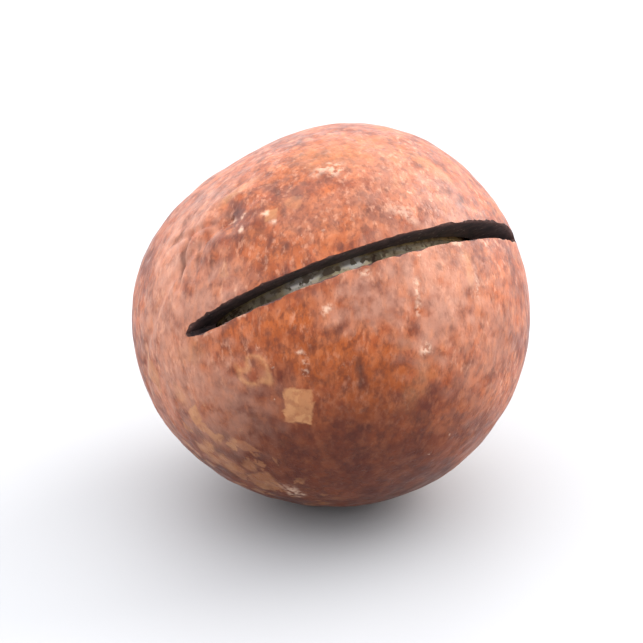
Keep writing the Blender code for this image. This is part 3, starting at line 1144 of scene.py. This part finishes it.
def tan_flecks(skin, masks, middle, one_mark):
    """Where the skin's tan flecks are, and their colour."""
    strewn, chance = skin.flecks(260.0, 0.34, 0.34, 0.035, 0.55)
    small, _ = skin.flecks(520.0, 0.16, 0.30, 0.05, 0.45)
    close, _ = skin.flecks(860.0, 0.80, 0.42, 0.08, 0.8)
    crisp = marks(skin.tree, skin.place, wander_of(skin.tree, skin.place, 1300.0), middle,
                  [mark for mark in TAN_MARKS if mark[EDGE] < SOFT_EDGE], 0.22, one_mark, corners=1.02)
    tan = skin.either(skin.share(strewn, masks["far side"]),
                      skin.share(skin.share(small, skin.either(masks["far side"], 0.25)), 0.8),
                      skin.share(skin.share(close, masks["speckled"]), 0.50),
                      crisp, masks["soft tan"])
    colour = blend_colour(skin.tree, chance, DEEP_FLECK, PALE_FLECK)
    return tan, skin.lay(colour, ((skin.cloud(1900.0, 3.0, 0.45, 0.65), 0.55, STAINED_FLECK),))


def shell_dust(skin, masks, middle):
    """Pale dust: strewn grains, crumbling scuffs, and what the saw left on the slot's lower lip."""
    tree = skin.tree
    grains = skin.share(skin.flecks(1700.0, 0.10, 0.20, 0.10, 0.9)[0], skin.cloud(170.0, 3.0, 0.46, 0.64))
    crumbs = skin.cloud(2600.0, 3.0, 0.34, 0.58)
    above_slot = skin.above_slot(middle)
    lower_lip = -SLOT_WIDTH / 2
    lip = ramp(tree, above_slot, lower_lip - LIP_DUST_DEPTH, lower_lip - LIP_DUST_EDGE)
    lip = skin.share(lip, calc(tree, "LESS_THAN", above_slot, 0.0))
    from_middle = vector_calc(tree, "SUBTRACT", skin.place, middle)
    along_slot = vector_calc(tree, "DOT_PRODUCT", from_middle, slot_middle_direction(), result=1)
    lip = skin.share(lip, ramp(tree, along_slot, *LIP_DUST_START))
    lip = skin.share(lip, skin.cloud(1500.0, 3.0, 0.50, 0.60))
    return skin.either(skin.share(grains, 0.70), skin.share(masks["pale"], crumbs), skin.share(lip, 0.40))


def skin_finish(groups, middle):
    """The shell's brown skin: mottled red brown with painted sheen and shade, tan flecks, haze, scuffs and
    pale dust.
    """
    finish, skin = new_finish("shell skin", groups)
    tree = skin.tree
    masks = {}
    for layer, names in PAINTED_MASKS:
        masks.update(zip(names, mesh_masks(tree, layer)))
    colour = mottled_skin(skin, masks)
    tan, tan_colour = tan_flecks(skin, masks, middle, groups["mark"])
    stalk = ramp(tree, skin.polar, *STALK_FADE)
    pore = skin.share(ramp(tree, skin.polar, *PORE_FADE), skin.cloud(1900.0, 2.0, 0.40, 0.60))
    dust = shell_dust(skin, masks, middle)
    colour = skin.lay(colour, ((tan, 0.80, tan_colour), (stalk, 0.8, STALK_TAN), (pore, 0.55, PORE_BROWN),
                               (masks["dark"], 0.78, CREASE_SHADE_AND_NET_BROWN), (dust, 0.66, SHELL_DUST)))
    roughness = ramp(tree, skin.grain(1100.0, 4.0), 0.3, 0.7, 0.34, 0.52)
    roughness = calc(tree, "ADD", roughness, skin.share(dust, 0.25))
    roughness = calc(tree, "ADD", roughness, skin.share(stalk, 0.20), clamp=True)
    height = calc(tree, "ADD", skin.share(skin.grain(3000.0, 4.0, 0.6), 0.6),
                  skin.share(skin.grain(1100.0, 3.0), 0.8))
    for mask, rise in ((skin.streak(900.0, 3.0, 0.50, 0.75), -0.5), (dust, 0.6), (tan, 0.10),
                       (masks["dark"], -0.8)):
        height = calc(tree, "ADD", height, skin.share(mask, rise))
    finish_surface(tree, height, 0.8, 0.00005, {
        "Base Color": colour, "Roughness": roughness, "Specular IOR Level": 0.18,
        "Coat Weight": 0.06, "Coat Roughness": 0.28})
    return finish


def slot_middle_direction():
    """Direction from the nut's middle to the middle of the slot."""
    angle = (SLOT_START + SLOT_END) / 2
    return SLOT_RIGHT * math.cos(angle) + SLOT_FRONT * math.sin(angle)


def sawn_finish(groups):
    """The sawn wall of the shell: dark, granular, with paler grit and a brown rind at the lip."""
    finish, wall = new_finish("sawn shell", groups)
    tree = wall.tree
    grit, _ = wall.flecks(3600.0, 0.20, 0.32, 0.10, 0.6)
    from_middle = vector_calc(tree, "LENGTH", wall.own, result=1)
    rind = ramp(tree, from_middle, FORM_RADIUS - RIND_DEPTH[0], FORM_RADIUS - RIND_DEPTH[1])
    colour = blend_colour(tree, wall.cloud(1500.0, 4.0, 0.35, 0.7), WALL_DARK, WALL_GREY)
    colour = wall.lay(colour, ((grit, 0.4, WALL_GRIT), (rind, 0.35, RIND_BROWN)))
    finish_surface(tree, wall.grain(3800.0, 3.0, 0.6), 0.9, 0.00006, {
        "Base Color": colour, "Roughness": ramp(tree, grit, 0, 1, 0.75, 0.5)})
    return finish


def lining_finish(groups):
    """The shell's smooth inside: brown, with the pale enamel of the pored half."""
    finish, lining = new_finish("shell lining", groups)
    tree = lining.tree
    stray = ramp(tree, lining.grain(260.0, 4.0, 0.6), 0.3, 0.7, -ENAMEL_STRAY, ENAMEL_STRAY)
    enamel = ramp(tree, calc(tree, "ADD", lining.polar, stray), *ENAMEL_EDGE)
    brown = blend_colour(tree, lining.grain(800.0, 4.0), LINING_DARK, LINING_BROWN)
    cream = blend_colour(tree, lining.grain(600.0, 4.0), ENAMEL_DEEP, ENAMEL_PALE)
    grain = lining.grain(1400.0, 3.0)
    finish_surface(tree, grain, 0.4, 0.00003, {
        "Base Color": blend_colour(tree, enamel, brown, cream),
        "Roughness": ramp(tree, grain, 0.3, 0.7, 0.25, 0.40), "Coat Weight": 0.3, "Coat Roughness": 0.2})
    return finish


def kernel_finish(groups, middle, name, pale, deep, dusty):
    """The kernel's flesh: cream to gold, with fine brown specks, scraped places, saw dust and painted shade
    in the slot.
    """
    finish, kernel = new_finish(name, groups)
    tree = kernel.tree
    specks, _ = kernel.flecks(1100.0, 0.08, 0.15, 0.06, 0.8)
    dust = kernel.cloud(2200.0, 4.0, 0.46, 0.58)
    above_slot = kernel.above_slot(middle)
    # Painted shade under the slot's upper lip
    edge = ramp(tree, calc(tree, "ADD", above_slot, kernel.share(dust, LIP_SHADE_STRAY)), *LIP_SHADE_EDGE)
    edge = kernel.share(edge, calc(tree, "LESS_THAN", above_slot, LIP_SHADE_TOP))
    wander = wander_of(tree, kernel.place, 2300.0)
    depth = FORM_RADIUS - SLOT_FLOOR_RADIUS
    soiled_and_shaded, scraped = (marks(tree, kernel.place, wander, middle, chosen, 0.6, groups["mark"], depth)
                       for chosen in (SOILED_AND_SHADED_MARKS, SCRAPED_MARKS))
    soiled_and_shaded = kernel.either(soiled_and_shaded, kernel.share(edge, 0.9))
    soiled_and_shaded = kernel.share(soiled_and_shaded, ramp(tree, dust, 0, 1, 0.86, 1.0))
    dusted_and_shaded = kernel.either(soiled_and_shaded, kernel.share(dust, dusty))
    bare = kernel.share(scraped, ramp(tree, dust, 0, 1, 1.0, 0.65))
    colour = blend_colour(tree, kernel.cloud(190.0, 3.0, 0.35, 0.68), pale, deep)
    colour = kernel.lay(colour, ((kernel.cloud(1300.0, 4.0, 0.45, 0.75), 0.35, ROASTED),
                                 (specks, 0.7, KERNEL_SPECK), (bare, 1, SCRAPED_WHITE),
                                 (dusted_and_shaded, 1, SAW_DUST_AND_SHADE)))
    grain = kernel.grain(2400.0, 4.0, 0.6)
    finish_surface(tree, calc(tree, "ADD", grain, kernel.share(dust, dusty)), 0.6, 0.00004, {
        "Base Color": colour, "Roughness": ramp(tree, grain, 0.3, 0.7, 0.45, 0.65),
        "Specular IOR Level": 0.18, "Subsurface Weight": 0.20, "Subsurface Scale": 0.001,
        "Subsurface Radius": (1.0, 0.6, 0.3)})
    return finish


def floor_finish():
    """The floor's plain pale finish."""
    finish = bpy.data.materials.new("floor")
    tree = nodes_of(finish)
    shader = put(tree, "ShaderNodeBsdfPrincipled", {"Base Color": FLOOR_GREY, "Roughness": 0.6})
    sink = tree.nodes.new("ShaderNodeOutputMaterial")
    tree.links.new(shader.outputs[0], sink.inputs["Surface"])
    return finish


# The floor, the key light, the white tent round the nut, and the camera, in metres and watts
FLOOR_WIDTH = 6.0
KEY_WAY = Vector((0.72, 0.50, 0.46)).normalized()
KEY_DISTANCE = 0.55
KEY_SIZE = 0.34
KEY_POWER = 2.9
KEY_COLOUR = (1.0, 0.98, 0.95)
TENT_COLOUR = (0.965, 0.98, 1.0, 1.0)
TENT_RISE = 0.45
TENT_EDGE = (-0.90, 0.20)
TENT_STRENGTH = (0.95, 3.0)
CAMERA_DISTANCE = 0.40
FRAME_WIDTH = 0.0405
AIM_FROM_MIDDLE = Vector((-0.0006, 0, -0.0006))
SENSOR_WIDTH = 36.0
NEAREST_SEEN = 0.01


def add_floor():
    """A wide pale floor."""
    bpy.ops.object.select_all(action="DESELECT")
    bpy.ops.mesh.primitive_plane_add(size=FLOOR_WIDTH, location=(0, 0, 0))
    floor = start_piece("floor")
    floor.data.materials.append(floor_finish())


def add_key_light():
    """A square softbox behind the nut on the right, which faces it."""
    lamp = bpy.data.lights.new("key", "AREA")
    lamp.shape = "RECTANGLE"
    lamp.size, lamp.size_y = KEY_SIZE, KEY_SIZE
    lamp.energy = KEY_POWER
    lamp.color = KEY_COLOUR
    holder = bpy.data.objects.new("key", lamp)
    bpy.context.scene.collection.objects.link(holder)
    holder.location = KEY_WAY * KEY_DISTANCE + Vector((0, 0, FORM_RADIUS))
    holder.rotation_euler = KEY_WAY.to_track_quat("Z", "Y").to_euler()


def add_tent():
    """The light of a white tent, brightest behind and overhead."""
    world = bpy.data.worlds.new("studio")
    bpy.context.scene.world = world
    world.use_nodes = True
    tree = world.node_tree
    direction = tree.nodes.new("ShaderNodeTexCoord").outputs["Generated"]
    split = put(tree, "ShaderNodeSeparateXYZ", {"Vector": direction}).outputs
    behind = calc(tree, "ADD", split[1], calc(tree, "MULTIPLY", split[2], TENT_RISE))
    sky = tree.nodes["Background"]
    sky.inputs["Color"].default_value = TENT_COLOUR
    fill(tree, sky.inputs["Strength"], ramp(tree, behind, *TENT_EDGE, *TENT_STRENGTH))


def add_camera():
    """A long lens at the photograph's viewing angle, with the nut near the middle of the frame."""
    data = bpy.data.cameras.new("camera")
    camera = bpy.data.objects.new("camera", data)
    bpy.context.scene.collection.objects.link(camera)
    low, high = CAD_BOX
    data.sensor_width = SENSOR_WIDTH
    data.lens = SENSOR_WIDTH * CAMERA_DISTANCE / FRAME_WIDTH
    data.clip_start = NEAREST_SEEN
    camera.location = (low + high) / 2 + AIM_FROM_MIDDLE + VIEW_BACK * CAMERA_DISTANCE
    camera.rotation_euler = VIEW_BACK.to_track_quat("Z", "Y").to_euler()
    bpy.context.scene.camera = camera


def build():
    """Make the nut, its light and its camera."""
    own_low, own_high = shell_box()
    low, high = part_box("shell")
    middle = Vector(((low.x + high.x - own_low.x - own_high.x) / 2,
                     (low.y + high.y - own_low.y - own_high.y) / 2,
                     low.z - own_low.z))
    groups = {"places": nut_places_group(middle), "mark": mark_group(), "flecks": flecks_group(),
              "clouds": cloud_group(), "streaks": streak_group()}
    shell_finishes = [skin_finish(groups, middle), sawn_finish(groups), lining_finish(groups)]
    kernel_finishes = [
        kernel_finish(groups, middle, "kernel skin", CREAM, GOLD, dusty=0.10),
        kernel_finish(groups, middle, "sawn kernel", SAWN_CREAM, SAWN_GOLD, dusty=0.38)]
    blade = slot_blade()
    shell = shell_piece(shell_finishes, blade)
    kernel = kernel_piece(kernel_finishes, blade)
    paint_skin(shell)
    for piece in (shell, kernel):
        piece.data.transform(Matrix.Translation(middle))
        make_active(piece)
        bpy.ops.object.shade_smooth_by_angle(angle=SMOOTH_ANGLE)
    bpy.data.objects.remove(blade)
    for piece, node in ((shell, "shell"), (kernel, "kernel")):
        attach(piece, "root")
        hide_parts(node)
    add_floor()
    add_key_light()
    add_tent()
    add_camera()
    bpy.context.scene.view_settings.view_transform = "Standard"


build()
